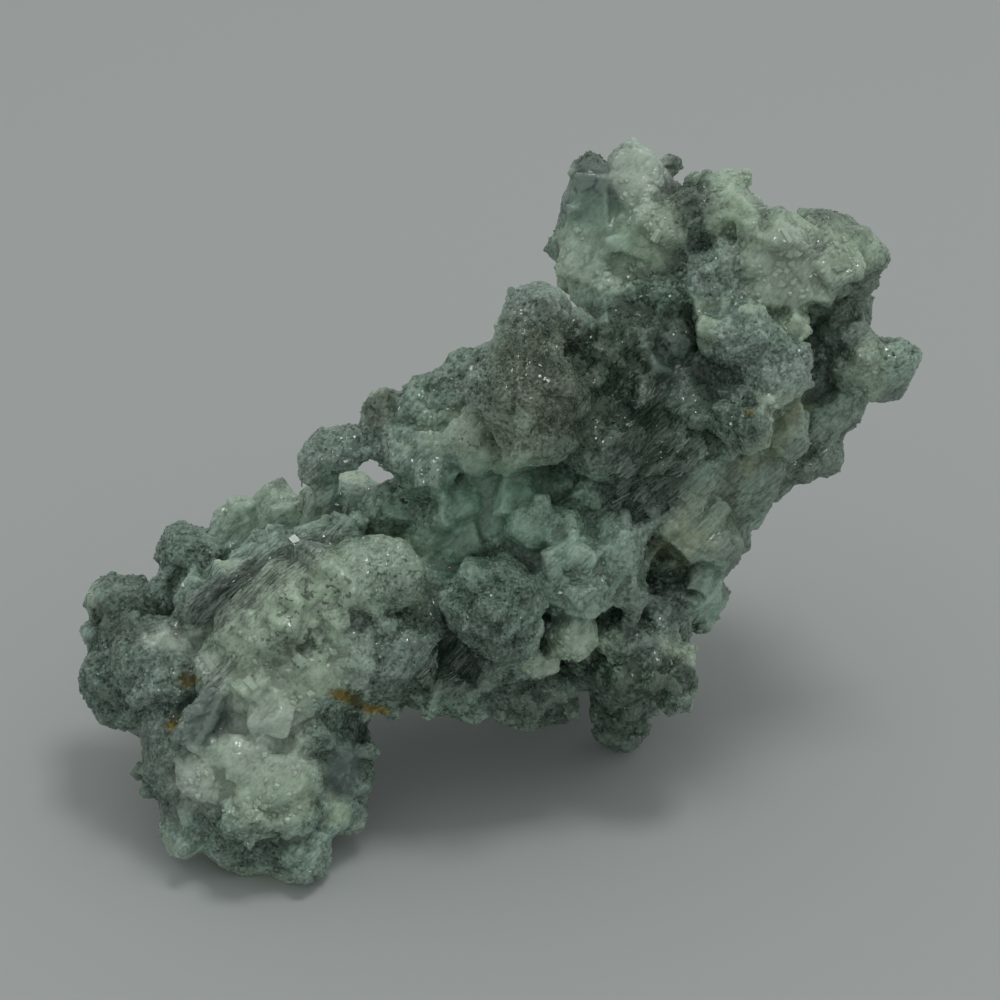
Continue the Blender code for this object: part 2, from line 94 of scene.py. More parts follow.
# %% [markdown]
# ## The looks
#
# Prehnite is one mineral, yet this stone shows it in many ways: milky where it is full of tiny
# cracks, sea green and clear where it grew slowly, grey and sparkling where later crystals dusted
# it, dark green where chlorite fills the hollows. Each look below is a row of numbers: its colour,
# how rough its faces are, how cloudy light gets inside it, how far its crystals stand out in
# millimetres, and how much it sparkles, streaks and speckles.

# %% Name the looks
LOOK_FIELDS = (
    "red green blue rough cloud slabs blocks domes fines sugar sparkle streaks speckle".split()
)
LOOKS = {
    "white": (0.49, 0.57, 0.48, 0.36, 1.0, 0.18, 0.08, 0.06, 0.04, 0.00, 0.25, 0.2, 0.10),
    "pale": (0.42, 0.53, 0.39, 0.34, 1.0, 0.12, 0.14, 0.20, 0.04, 0.00, 0.30, 0.2, 0.15),
    "cream": (0.262, 0.308, 0.192, 0.32, 1.0, 0.14, 0.08, 0.08, 0.03, 0.00, 0.15, 0.3, 0.10),
    "glass": (0.285, 0.405, 0.325, 0.20, 0.9, 0.26, 0.10, 0.03, 0.03, 0.00, 0.40, 0.6, 0.15),
    "teal": (0.300, 0.475, 0.355, 0.18, 1.0, 0.12, 0.05, 0.00, 0.00, 0.00, 0.08, 0.3, 0.08),
    "smoke": (0.070, 0.112, 0.098, 0.16, 0.8, 0.14, 0.09, 0.00, 0.03, 0.00, 0.10, 0.2, 0.08),
    "light": (0.26, 0.345, 0.29, 0.38, 0.6, 0.18, 0.24, 0.14, 0.15, 0.05, 0.85, 0.1, 0.75),
    "druse": (0.125, 0.195, 0.146, 0.40, 0.3, 0.14, 0.28, 0.20, 0.16, 0.06, 0.95, 0.2, 1.00),
    "silk": (0.100, 0.128, 0.108, 0.45, 0.2, 0.16, 0.14, 0.10, 0.06, 0.01, 0.50, 1.9, 0.30),
    "green": (0.15, 0.24, 0.17, 0.36, 0.5, 0.18, 0.26, 0.12, 0.15, 0.06, 0.85, 0.1, 1.10),
    "moss": (0.045, 0.083, 0.046, 0.50, 0.2, 0.12, 0.26, 0.18, 0.16, 0.07, 0.60, 0.1, 0.90),
    "dark": (0.058, 0.096, 0.064, 0.48, 0.1, 0.10, 0.22, 0.22, 0.13, 0.06, 0.50, 0.2, 0.80),
    "brown": (0.125, 0.151, 0.105, 0.70, 0.0, 0.04, 0.16, 0.22, 0.18, 0.09, 0.45, 0.0, 1.00),
    "fibre": (0.048, 0.075, 0.050, 0.45, 0.1, 0.14, 0.18, 0.04, 0.04, 0.00, 0.25, 1.5, 0.20),
    "slate": (0.165, 0.225, 0.175, 0.52, 0.0, 0.14, 0.14, 0.04, 0.07, 0.02, 0.25, 0.9, 0.45),
    "rust": (0.24, 0.170, 0.018, 0.70, 0.0, 0.00, 0.05, 0.10, 0.10, 0.06, 0.20, 0.0, 0.80),
}
LOOK_NAMES = list(LOOKS)
LOOK_TABLE = np.array(list(LOOKS.values()))


def look_value(shares, field):
    """One of the looks' numbers, blended for points that show several looks."""
    return shares @ LOOK_TABLE[:, LOOK_FIELDS.index(field)]


print(len(LOOKS), "looks with", len(LOOK_FIELDS), "numbers each")

# %% [markdown]
# A patch is an ellipse in the view: across, up, half width, half height and lean in degrees. They
# are grouped by look, and noise warps their edges. What no patch covers, the unseen back above all,
# gets its looks from noise: where the noise is low it is the first of BACK_LOOKS, where it is high
# the last. SPECKS are ellipses too. In them dark green dust shows as fine specks.

# %% Place the patches
PATCHES = {
    "white": [
        (-23.3, -23.3, 4.8, 4.4, 0), (-30.0, -28.0, 3.2, 3.2, 0), (-30.0, -15.6, 0.9, 4.0, 35),
        (-33.0, -13.8, 3.2, 1.5, 0), (14.4, 32.8, 3.2, 3.6, 0), (28.8, 23.2, 3.6, 3.2, 0),
        (-13.5, -17.7, 0.9, 1.3, 0), (8.8, 24.4, 2.4, 2.4, 0),
    ],
    "pale": [
        (-24.0, -14.2, 4.6, 4.6, 0), (-20.0, -10.0, 5.0, 4.4, 20), (-15.5, -7.4, 4.6, 3.8, 10),
        (-11.0, -7.4, 3.8, 4.2, 0), (-18.0, -15.0, 4.2, 3.2, 0), (-22.5, -18.0, 5.0, 3.0, 0),
        (-22.6, -29.2, 4.2, 4.0, 0), (-27.5, -26.5, 2.2, 2.4, 0), (-5.0, 6.7, 2.8, 2.0, 0),
        (-1.2, 6.0, 5.0, 2.6, -10), (8.8, -14.0, 3.0, 1.8, 0), (14.8, 26.5, 4.0, 3.8, 0),
        (23.0, 29.4, 2.8, 3.4, 0), (28.7, 24.0, 5.2, 5.2, 0), (35.4, 25.6, 3.2, 2.8, 0),
        (29.5, 17.4, 1.2, 1.2, 0), (9.2, 23.9, 3.8, 4.0, 0),
        (-20.0, -0.5, 2.2, 2.4, 0), (-25.5, -0.8, 3.4, 2.2, 0), (36.6, 13.2, 2.6, 2.6, 0),
    ],
    "cream": [
        (28.6, 7.2, 1.3, 3.8, -32), (20.5, -2.2, 4.6, 3.0, 38), (23.5, 2.6, 3.0, 1.3, 45),
        (17.8, -4.3, 2.4, 2.5, 0),
    ],
    "glass": [
        (-15.4, -3.0, 2.6, 1.8, 0), (-24.0, -2.6, 5.4, 3.0, 0), (-16.5, -0.8, 3.6, 3.0, 0),
        (-8.2, 8.6, 2.6, 2.6, 0), (-6.7, 3.2, 2.8, 2.8, 0), (7.6, -10.8, 3.4, 2.2, 0),
        (9.2, -5.8, 5.2, 4.0, 0), (10.0, 20.0, 3.2, 1.8, 0), (39.8, 13.6, 1.6, 2.2, 0),
        (34.0, 9.0, 3.2, 1.8, 30), (22.5, -0.5, 4.0, 3.6, 0), (20.4, -8.4, 1.9, 3.6, 0),
        (-31.0, -33.7, 2.2, 2.1, 0), (6.9, -18.6, 1.4, 1.2, 0), (-18.4, -35.2, 3.0, 2.4, 0),
    ],
    "teal": [
        (1.8, -0.4, 7.5, 4.4, 0), (-5.2, -5.2, 3.8, 3.4, 0), (-9.6, -1.6, 2.2, 2.0, 0),
        (9.6, 27.0, 3.0, 3.6, 0), (21.0, -10.0, 1.6, 2.2, 0),
    ],
    "smoke": [
        (9.0, 30.6, 3.0, 3.4, 0), (-29.6, -21.6, 2.3, 2.8, -30), (-15.6, -26.4, 1.7, 2.9, -10),
        (17.4, 13.0, 2.4, 3.0, 0),
    ],
    "light": [
        (-33.9, -18.6, 3.6, 3.4, 0), (-11.8, -15.2, 4.6, 3.6, -20), (24.2, 16.0, 2.9, 2.4, 0),
        (-16.4, 5.2, 4.8, 2.8, 15),
        (21.8, 22.4, 2.4, 2.8, 0), (16.2, -11.4, 2.4, 2.3, 0), (27.8, 13.0, 3.6, 2.5, 0),
        (14.4, -3.0, 2.4, 1.6, 0), (3.8, 19.6, 3.2, 2.2, 0), (14.0, -15.2, 1.6, 1.4, 0),
        (-4.2, 12.4, 2.4, 2.4, 0), (-11.2, -7.4, 3.2, 3.4, 0), (33.6, 15.2, 1.8, 2.6, 0),
    ],
    "druse": [
        (-31.8, -4.6, 2.6, 2.7, 0), (-39.8, -16.4, 2.6, 3.0, 0), (-38.4, -19.5, 3.8, 4.0, 0),
        (-33.5, -25.0, 2.0, 5.0, -8), (-13.0, -27.0, 1.4, 5.2, 8), (-0.6, -8.8, 5.3, 4.7, 0),
        (0.8, -14.4, 3.8, 1.6, 0), (9.6, 3.6, 3.4, 2.4, 0), (14.2, -0.4, 3.0, 2.4, 0),
        (16.0, 20.6, 3.0, 2.2, 0), (24.2, 7.6, 2.4, 3.0, 0), (-25.2, -34.8, 3.4, 2.4, 0),
        (17.6, -20.4, 1.8, 1.4, 0), (-35.0, -10.2, 3.2, 2.8, 10), (-17.6, -23.6, 1.8, 2.2, 0),
        (-16.4, 5.6, 3.0, 2.0, 15),
    ],
    "silk": [
        (-27.8, -10.2, 3.2, 2.6, 20), (-23.8, -7.4, 4.2, 2.2, 32), (-19.0, -4.8, 4.0, 1.7, 28),
        (-18.6, 1.6, 1.6, 2.6, 0), (-28.2, -18.0, 0.8, 3.4, -35),
        (31.0, 25.0, 2.0, 1.0, 0), (22.2, 0.6, 2.6, 1.6, 40),
    ],
    "green": [
        (-5.2, 12.4, 4.2, 4.2, 40), (5.2, -1.6, 3.6, 1.8, 0), (19.0, 8.0, 2.9, 3.0, 0),
        (-6.6, -20.6, 4.0, 2.6, 0), (17.0, 19.6, 2.6, 1.4, -20), (40.2, 14.4, 1.3, 1.5, 0),
        (-9.8, -0.6, 4.0, 2.8, 0), (10.8, -15.6, 1.6, 2.0, 0), (-10.4, -9.8, 3.0, 1.7, 0),
        (-18.4, -24.0, 1.4, 1.6, 0),
    ],
    "moss": [
        (11.2, 13.6, 3.8, 4.4, 0), (9.8, 6.8, 3.0, 2.4, 0), (13.6, -17.8, 4.2, 3.4, 0),
        (18.0, -17.8, 2.0, 2.0, 0), (11.8, -23.0, 4.2, 2.8, 0), (17.4, 16.0, 2.8, 2.6, 0),
    ],
    "dark": [
        (-37.8, -11.6, 3.2, 2.4, 10), (-32.8, -30.2, 2.0, 1.6, 0), (7.7, -1.0, 2.0, 1.7, 0),
        (17.2, -8.6, 3.2, 2.9, 0), (9.1, 34.2, 1.9, 1.2, 0), (17.3, 34.3, 1.1, 0.8, 0),
        (18.8, 30.0, 3.0, 2.6, 0), (14.4, 18.6, 4.0, 1.4, -8), (34.0, 27.9, 3.6, 1.2, -10),
        (4.4, -20.7, 5.4, 2.8, 0), (-20.8, -14.6, 2.6, 1.6, 20), (-9.0, -18.6, 3.0, 2.0, 0),
        (13.4, -12.0, 1.6, 4.0, 0), (20.6, 12.6, 1.6, 2.6, 0),
    ],
    "brown": [
        (4.0, 16.9, 3.9, 3.0, 0), (2.8, 9.8, 6.2, 6.2, 0), (-11.8, 9.2, 1.9, 1.9, 0),
        (34.2, 19.4, 1.6, 1.2, 0),
    ],
    "fibre": [
        (15.6, 5.0, 4.2, 6.8, -28), (-5.0, -16.6, 2.6, 2.8, 0),
    ],
    "slate": [
        (34.4, 16.4, 3.0, 6.0, 0), (30.2, 2.0, 3.2, 10.5, -42), (24.0, -4.0, 1.6, 3.4, -20),
    ],
    "rust": [
        (-31.2, -17.7, 0.9, 0.9, 0), (-32.9, -22.1, 0.8, 0.8, 0), (-15.4, -19.6, 1.5, 0.8, -25),
        (-12.9, -20.6, 1.3, 0.6, -25), (-11.9, -21.4, 0.6, 0.5, 0), (25.3, 8.5, 0.4, 0.3, 0),
    ],
}  # fmt: skip
SPECKS = [
    (-18.5, -10.0, 5.0, 2.6, 15), (-11.2, -7.6, 3.6, 2.6, 0), (-1.0, 6.4, 4.0, 1.6, 0),
    (-20.8, -14.6, 4.0, 3.0, 20), (2.8, 9.8, 6.4, 6.2, 0), (4.0, 17.2, 3.9, 3.4, 0),
    (18.8, 30.0, 4.0, 3.6, 0), (7.7, -1.0, 3.0, 2.6, 0), (39.4, 14.4, 2.6, 2.0, 0),
]  # fmt: skip
EDGE_POWER = 4
WARP, FINE_WARP = 0.9, 0.45
WARP_SIZE, FINE_WARP_SIZE = 3.0, 1.0
WARP_SEEDS = (5.1, 9.7)
FRONT_ENDS = -13.0
FRONT_BLEND = 6.0
BACK_LOOKS = ("slate", "green", "druse", "light", "glass", "pale")
BACK_STEPS = (-9, -0.3, -0.16, 0.06, 0.16, 0.33, 9)
BACK_PATCH, FINE_BACK_PATCH = 9.0, 3.0
BACK_SEED, FINE_BACK_SEED = 2.3, 7.9
FINE_BACK_SHARE = 0.4


def patch_share(place, patch):
    """1 inside a patch, 0 outside it, with a short soft edge."""
    across, up, wide, tall, lean = patch
    turn = math.radians(lean)
    x, y = place[:, 0] - across, place[:, 1] - up
    along = (x * math.cos(turn) + y * math.sin(turn)) / wide
    over = (y * math.cos(turn) - x * math.sin(turn)) / tall
    return 1 / (1 + (along**2 + over**2) ** EDGE_POWER)


def noise_at(points, size, seed):
    """Smooth noise from -1 to 1 at points in metres, with lumps of this size in millimetres."""
    scale = 1 / (size * MM)
    shift = Vector((seed, seed, seed))
    return np.array([noise.noise(Vector(point) * scale + shift) for point in points])


def look_shares(points):
    """How much of each look every point has: one column a look, each row adding up to 1."""
    place = seen(points)
    for axis, seed in enumerate(WARP_SEEDS):
        place[:, axis] += noise_at(points, WARP_SIZE, seed) * WARP
        place[:, axis] += noise_at(points, FINE_WARP_SIZE, seed) * FINE_WARP
    front = np.clip((place[:, 2] - FRONT_ENDS) / FRONT_BLEND + 1, 0, 1)
    shares = np.zeros((len(points), len(LOOK_NAMES)))
    for column, name in enumerate(LOOK_NAMES):
        for patch in PATCHES[name]:
            shares[:, column] = np.maximum(shares[:, column], patch_share(place, patch))
    rust = LOOK_NAMES.index("rust")
    shares[:, :rust] *= 1 - shares[:, rust : rust + 1]
    shares *= front[:, None]
    bare = np.clip(1 - shares.sum(axis=1), 0, 1)
    wander = noise_at(points, BACK_PATCH, BACK_SEED)
    wander += FINE_BACK_SHARE * noise_at(points, FINE_BACK_PATCH, FINE_BACK_SEED)
    for name, low, high in zip(BACK_LOOKS, BACK_STEPS, BACK_STEPS[1:]):
        shares[:, LOOK_NAMES.index(name)] += bare * ((wander > low) & (wander <= high))
    return shares / shares.sum(axis=1, keepdims=True)


print(sum(len(group) for group in PATCHES.values()), "patches")

# %% [markdown]
# ## The skin
#
# The solid's facets are about two millimetres wide, far coarser than the real crust. A voxel remesh
# gives its copy an even net of faces a little over a quarter of a millimetre wide. Then every
# vertex moves along its normal. Voronoi noise fits crystals well, since its cells meet in sharp
# creases, as crystals do that grew against each other. A cell with a flat tipped top reads as a
# blocky crystal, a cell with a round top as a bead, and cells of half a millimetre as sugar. RELIEF
# has a row for each kind: its form, its size in millimetres, the seed of its noise, and the level
# that stays where the skin was.

# %% [markdown]
# A few crystals are large enough to be known one by one: the glassy blocks behind the ridge, the
# hanging lobes of the middle, the flat faces of the leg and the blocks at its foot. Each row says
# where it is in the view, its half length, width and thickness in millimetres, which way it points
# in the view, and how far it leans to the eye, both in degrees. They are joined to the copy before
# the remesh, which grows them and the crust together.

# %% Plan the large crystals
LARGE = [
    (-26.2, -2.6, 3.0, 2.8, 2.0, 80, 25), (-21.4, -2.8, 2.6, 2.4, 1.8, 100, 20),
    (-18.2, -1.2, 2.4, 2.1, 1.6, 70, 20), (-15.2, -3.2, 2.3, 1.5, 1.4, 50, 30),
    (-31.2, -33.6, 1.9, 1.6, 1.4, 240, 20), (-19.2, -35.6, 2.6, 1.9, 1.5, 250, 10),
    (-23.5, -35.6, 1.7, 1.4, 1.2, 270, 20), (-7.0, 3.8, 2.8, 2.4, 1.6, 265, 15),
    (-8.4, 4.6, 1.8, 1.6, 1.3, 250, 20), (8.4, -7.6, 2.6, 1.6, 1.4, 75, 20),
    (5.4, -7.2, 2.4, 1.3, 1.1, 110, 15), (11.2, -8.4, 2.2, 1.4, 1.2, 50, 20),
    (8.0, -13.4, 2.2, 1.7, 1.5, 265, 10), (12.4, -5.0, 2.2, 1.7, 1.4, 80, 20),
    (4.2, -1.0, 1.8, 1.4, 1.1, 95, 25), (14.2, -1.4, 1.9, 1.5, 1.2, 100, 20),
    (29.2, 17.4, 1.2, 1.0, 0.9, 60, 30), (24.6, 16.2, 2.4, 2.1, 1.6, 20, 35),
    (17.7, 6.0, 1.1, 1.0, 0.9, 60, 40), (22.2, 23.0, 1.8, 1.4, 1.2, 80, 30),
    (10.0, 20.2, 1.5, 1.1, 1.0, 90, 30), (12.8, 20.4, 1.4, 1.1, 1.0, 70, 30),
    (7.6, 21.4, 1.3, 1.0, 0.9, 110, 30), (20.5, -6.8, 2.4, 1.7, 1.3, 70, 10),
    (-9.8, -15.2, 2.2, 1.5, 1.2, 60, 25), (-13.4, -14.8, 1.9, 1.4, 1.1, 100, 25),
    (-30.0, -21.8, 3.2, 2.2, 1.2, 60, 0), (-33.0, -15.2, 2.2, 1.7, 1.0, 120, 20),
    (9.0, 27.4, 5.2, 3.3, 1.7, 86, 9),
    (-5.4, -4.8, 3.6, 3.2, 1.0, 20, 10), (1.6, 0.6, 2.2, 2.6, 1.0, 90, -20),
    (20.0, -2.4, 3.4, 2.6, 1.4, 45, 0),
]  # fmt: skip
LARGE_SIDES = 5
LARGE_TAPER = 0.62
LARGE_SINK = 0.45
print(len(LARGE), "large crystals planned")

# %% [markdown]
# In a few places the crust has grown together over a gap that the solid leaves open. A small lump
# fills each one. Its row says where it is, across, up and near in the view, and its radius.

# %% Refine the skin
SKIN_STEP = 0.285
SOFTEN_TIMES = 2
SOFTEN = 0.5
PLUG_ROUNDNESS = 2
PLUGS = [
    (-7.0, 7.7, 0.3, 1.9), (-9.4, 6.1, 0.5, 1.8),
    (7.3, 17.3, 4.6, 2.2), (13.2, 0.3, 0.8, 2.2), (32.3, 4.2, -6.0, 2.0), (17.4, 16.2, 2.0, 3.3),
    (-4.6, -16.0, -1.2, 3.0),
]  # fmt: skip


def copy_of_solid(name):
    obj = bpy.data.objects.new(name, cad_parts[NODE].data.copy())
    bpy.context.scene.collection.objects.link(obj)
    return obj


def bake_modifiers(obj):
    graph = bpy.context.evaluated_depsgraph_get()
    finished = bpy.data.meshes.new_from_object(obj.evaluated_get(graph))
    obj.modifiers.clear()
    obj.data = finished


def fill_gaps(obj):
    """Adds small lumps where the crust has grown together over a gap; the remesh joins them."""
    mesh = bmesh.new()
    mesh.from_mesh(obj.data)
    for across, up, near, radius in PLUGS:
        closer = (VIEW_DISTANCE - near) / VIEW_DISTANCE
        middle = VIEW_MIDDLE + (ACROSS * across + UP * up) * closer + NEAR * near
        place = Matrix.Translation(middle * MM)
        size = radius * MM
        bmesh.ops.create_icosphere(mesh, subdivisions=PLUG_ROUNDNESS, radius=size, matrix=place)
    mesh.to_mesh(obj.data)
    mesh.free()


def plant_large(obj):
    """Adds the large crystals, each with a flat side to the eye and sunk where the view ray hits."""
    mesh = bmesh.new()
    mesh.from_mesh(obj.data)
    eye = VIEW_MIDDLE + NEAR * VIEW_DISTANCE
    for across, up, long, wide, flat, pointing, leaning in LARGE:
        aim = VIEW_MIDDLE + ACROSS * across + UP * up - eye
        hit, spot, _, _ = obj.ray_cast(Vector(eye * MM), Vector(aim).normalized())
        turn, lean = math.radians(pointing), math.radians(leaning)
        axis = math.cos(lean) * (math.cos(turn) * ACROSS + math.sin(turn) * UP) + math.sin(lean) * NEAR
        side = np.cross(axis, NEAR) / np.linalg.norm(np.cross(axis, NEAR))
        back = np.cross(axis, side)
        stance = Matrix(np.stack((side * wide, back * flat, axis * long), axis=1) * MM).to_4x4()
        place = Matrix.Translation(spot - Vector(NEAR * flat * LARGE_SINK * MM)) @ stance
        if hit:
            bmesh.ops.create_cone(
                mesh,
                cap_ends=True,
                segments=LARGE_SIDES,
                radius1=1,
                radius2=LARGE_TAPER,
                depth=2,
                matrix=place,
            )
    mesh.to_mesh(obj.data)
    mesh.free()


def refine(obj):
    remesh = obj.modifiers.new("even net", "REMESH")
    remesh.mode = "VOXEL"
    remesh.voxel_size = SKIN_STEP * MM
    soften = obj.modifiers.new("soften", "SMOOTH")
    soften.factor = SOFTEN
    soften.iterations = SOFTEN_TIMES
    bake_modifiers(obj)


whole = copy_of_solid("whole_skin")
plant_large(whole)
fill_gaps(whole)
refine(whole)
print(len(whole.data.vertices), "vertices,", len(whole.data.polygons), "faces in the skin")


# %% Read a mesh as arrays
def vertex_places(mesh):
    places = np.empty(len(mesh.vertices) * 3)
    mesh.vertices.foreach_get("co", places)
    return places.reshape(-1, 3)


def vertex_normals(mesh):
    normals = np.empty(len(mesh.vertices) * 3, dtype=np.float32)
    mesh.vertex_normals.foreach_get("vector", normals)
    return normals.reshape(-1, 3).astype(float)


def set_places(mesh, places):
    mesh.vertices.foreach_set("co", places.astype(np.float32).ravel())
    mesh.update()


# %% Roughen the skin
SEED_SPREAD = (1, 1.7, 2.3)
LUCK_SCALE = 7.3
BLOCK_EDGE = 0.16
BLOCK_TIP = 0.9
BLOCK_HEIGHT, BLOCK_LUCK = 0.7, 0.3
BEAD_HEIGHT, BEAD_LUCK = 0.8, 0.2
GROUND_CLEAR = 0.6
STREAK_ALONG = np.array((0.72, 0.36, 0.59))
STREAK_DRAW = 0.88
RIB_SIZE, FINE_RIB_SIZE = 0.95, 0.475
RIB_SEED, FINE_RIB_SEED = 6.0, 8.0
FINE_RIB_SHARE = 0.5
RIB_HEIGHT = 0.22


def cells(points, size, seed):
    """For every point: distance to its Voronoi cell's seed and edge, its tipped height, its luck."""
    found = np.empty((len(points), 4))
    scale = 1 / (size * MM)
    shift = Vector([seed * spread for spread in SEED_SPREAD])
    for index, point in enumerate(points):
        here = Vector(point) * scale + shift
        far, seeds = noise.voronoi(here)
        tip = noise.cell_vector(seeds[0] * LUCK_SCALE) * 2 - Vector((1, 1, 1))
        found[index] = far[0], far[1] - far[0], (here - seeds[0]).dot(tip), tip.x
    return found.T


def blocks(points, size, seed):
    """Flat-topped crystals from 0 to about 1, each tipped its own way."""
    _, edge, tipped, luck = cells(points, size, seed)
    rim = np.clip(edge / BLOCK_EDGE, 0, 1)
    return rim * (2 - rim) * (BLOCK_HEIGHT + BLOCK_LUCK * luck) + BLOCK_TIP * tipped * rim


def beads(points, size, seed):
    """Round-topped beads from 0 to 1."""
    near, _, _, luck = cells(points, size, seed)
    return np.sqrt(np.clip(1 - near**2, 0, 1)) * (BEAD_HEIGHT + BEAD_LUCK * luck)


def ribs(points):
    """Ridges drawn out along the fibres, from -1 to 1."""
    drawn = points - np.outer(points @ STREAK_ALONG, STREAK_ALONG) * STREAK_DRAW
    coarse = noise_at(drawn, RIB_SIZE, RIB_SEED)
    return coarse + FINE_RIB_SHARE * noise_at(drawn, FINE_RIB_SIZE, FINE_RIB_SEED)


RELIEF = {
    "slabs": (blocks, 3.1, 2.0, 0.5),
    "blocks": (blocks, 1.7, 3.0, 0.5),
    "domes": (beads, 2.8, 5.0, 0.6),
    "fines": (blocks, 0.95, 7.0, 0.5),
    "sugar": (blocks, 0.55, 11.0, 0.5),
}


def roughen(obj):
    """Moves the skin along its normals, and returns the looks of each vertex."""
    points = vertex_places(obj.data)
    shares = look_shares(points)
    relief = np.zeros(len(points))
    for field, (form, size, seed, level) in RELIEF.items():
        relief += look_value(shares, field) * (form(points, size, seed) - level)
    relief += look_value(shares, "streaks") * ribs(points) * RIB_HEIGHT
    off_ground = np.clip(points[:, 2] / (GROUND_CLEAR * MM), 0, 1)
    moved = points + vertex_normals(obj.data) * (relief * off_ground * MM)[:, None]
    moved[:, 2] = np.maximum(moved[:, 2], 0)
    set_places(obj.data, moved)
    return shares


skin_shares = roughen(whole)
skin_places = vertex_places(whole.data)
skin_normals = vertex_normals(whole.data)
print("skin roughened,", len(skin_places), "vertices moved")

# %% [markdown]
# Dust gathers in hollows, which are also darkened as painted shade, and crests are rubbed or frosted
# pale. To find them, the net is smoothed many times over: a vertex that stood above the smoothed
# net is a crest, one below it a hollow. A few rounds find the creases between crystals, and many
# rounds the hollows between lumps.

# %% Find crests and hollows
CREASE_ROUNDS, HOLLOW_ROUNDS = 8, 70
CREASE_DEPTH, HOLLOW_DEPTH = 0.08, 0.55


def face_corners(mesh):
    corners = np.empty(len(mesh.loops), dtype=np.int32)
    mesh.loops.foreach_get("vertex_index", corners)
    return corners.reshape(-1, 4)


def smoothed(places, corners, rounds):
    """The places after each vertex has moved to the mean of its neighbours this many times."""
    one, other = corners.ravel(), np.roll(corners, -1, axis=1).ravel()
    ends, starts = np.concatenate((one, other)), np.concatenate((other, one))
    neighbours = np.bincount(ends, minlength=len(places))
    for _ in range(rounds):
        sums = [np.bincount(ends, places[starts, axis], len(places)) for axis in range(3)]
        places = np.stack(sums, axis=1) / neighbours[:, None]
    return places


def stands_out(rounds, depth):
    """1 for a crest of this depth in millimetres, -1 for a hollow."""
    above = skin_places - smoothed(skin_places, skin_corners, rounds)
    return np.clip((above * skin_normals).sum(axis=1) / (depth * MM), -1, 1)


skin_corners = face_corners(whole.data)
skin_crest = 0.5 * stands_out(CREASE_ROUNDS, CREASE_DEPTH)
skin_crest += 0.5 * stands_out(HOLLOW_ROUNDS, HOLLOW_DEPTH)
print("crests", round(float((skin_crest > 0.5).mean()), 3))
print("hollows", round(float((skin_crest < -0.5).mean()), 3))

# %% [markdown]
# ## The colours of a point
#
# A blend of the looks' colours is worked out once for each vertex and kept in the mesh, together
# with the other numbers that vary. The material then adds what is finer than the net.

# %% Blend the looks
TONE_SIZES = (5.0, 1.4)
TONE_SPREADS = (0.16, 0.20)
TONE_SEED = 1.9
KEPT_FIELDS = ("rough", "cloud", "sparkle", "streaks", "speckle")


def store(mesh, name, values):
    """Keeps one number a vertex, or one colour a vertex, for the material to read."""
    kind = "FLOAT_COLOR" if values.ndim == 2 else "FLOAT"
    slot = mesh.attributes.new(name, kind, "POINT")
    field = "color" if values.ndim == 2 else "value"
    slot.data.foreach_set(field, values.astype(np.float32).ravel())


def paint(mesh, shares, tone, crest, specks):
    colour = np.column_stack([look_value(shares, part) for part in ("red", "green", "blue")])
    colour = np.clip(colour * tone[:, None], 0, 1)
    store(mesh, "look", np.column_stack((colour, np.ones(len(colour)))))
    for field in KEPT_FIELDS:
        store(mesh, field, look_value(shares, field))
    store(mesh, "crest", crest)
    store(mesh, "specks", specks)


skin_tone = np.ones(len(skin_places))
for tone_size, spread in zip(TONE_SIZES, TONE_SPREADS):
    skin_tone += spread * noise_at(skin_places, tone_size, TONE_SEED)
skin_specks = np.zeros(len(skin_places))
for speck_patch in SPECKS:
    skin_specks = np.maximum(skin_specks, patch_share(seen(skin_places), speck_patch))
print("tone from", round(float(skin_tone.min()), 2), "to", round(float(skin_tone.max()), 2))

# %% [markdown]
# The net has over half a million triangles once it is cut up, which is more than one piece should
# carry. So the skin is parted in slices along the stone. Each slice keeps the shading normals of
# the whole, which hides the seams.


# %% Part the skin
def mesh_object(name, places, corners):
    """An object from vertices and faces, which all have as many corners."""
    mesh = bpy.data.meshes.new(name)
    mesh.vertices.add(len(places))
    mesh.vertices.foreach_set("co", places.astype(np.float32).ravel())
    mesh.loops.add(corners.size)
    mesh.loops.foreach_set("vertex_index", corners.astype(np.int32).ravel())
    mesh.polygons.add(len(corners))
    starts = np.arange(0, corners.size, corners.shape[1], dtype=np.int32)
    mesh.polygons.foreach_set("loop_start", starts)
    mesh.update(calc_edges=True)
    obj = bpy.data.objects.new(name, mesh)
    bpy.context.scene.collection.objects.link(obj)
    return obj


def skin_slice(name, corners):
    """A piece of the skin with these faces, painted and with the whole skin's normals."""
    used, renumbered = np.unique(corners, return_inverse=True)
    obj = mesh_object(name, skin_places[used], renumbered.reshape(-1, 4))
    smooth = np.ones(len(obj.data.polygons), dtype=bool)
    obj.data.polygons.foreach_set("use_smooth", smooth)
    obj.data.normals_split_custom_set_from_vertices(skin_normals[used])
    paint(obj.data, skin_shares[used], skin_tone[used], skin_crest[used], skin_specks[used])
    return obj


SLICES = ("skin_left", "skin_arch", "skin_middle", "skin_right")
along = skin_places[skin_corners[:, 0], 0]
cuts = np.quantile(along, np.linspace(0, 1, len(SLICES) + 1))
cuts[-1] += MM
skins = []
for slice_name, low, high in zip(SLICES, cuts, cuts[1:]):
    skins.append(skin_slice(slice_name, skin_corners[(along >= low) & (along < high)]))
print([len(skin.data.polygons) * 2 for skin in skins], "triangles in the slices")

# %% [markdown]
# ## Small crystals
#
# The crust's sparkle comes from thousands of flat faces. They are real meshes here: a few unit
# forms, blunt prisms and chips, are turned, stretched and rooted at random spots of the skin, and
# each kind is joined in one mesh. A crystal takes the looks of the spot that it grows from.
# Neighbours lean the same way, because crystals that start from one point spread like a fan.

# %% Make the unit forms
DICE = np.random.default_rng(23)


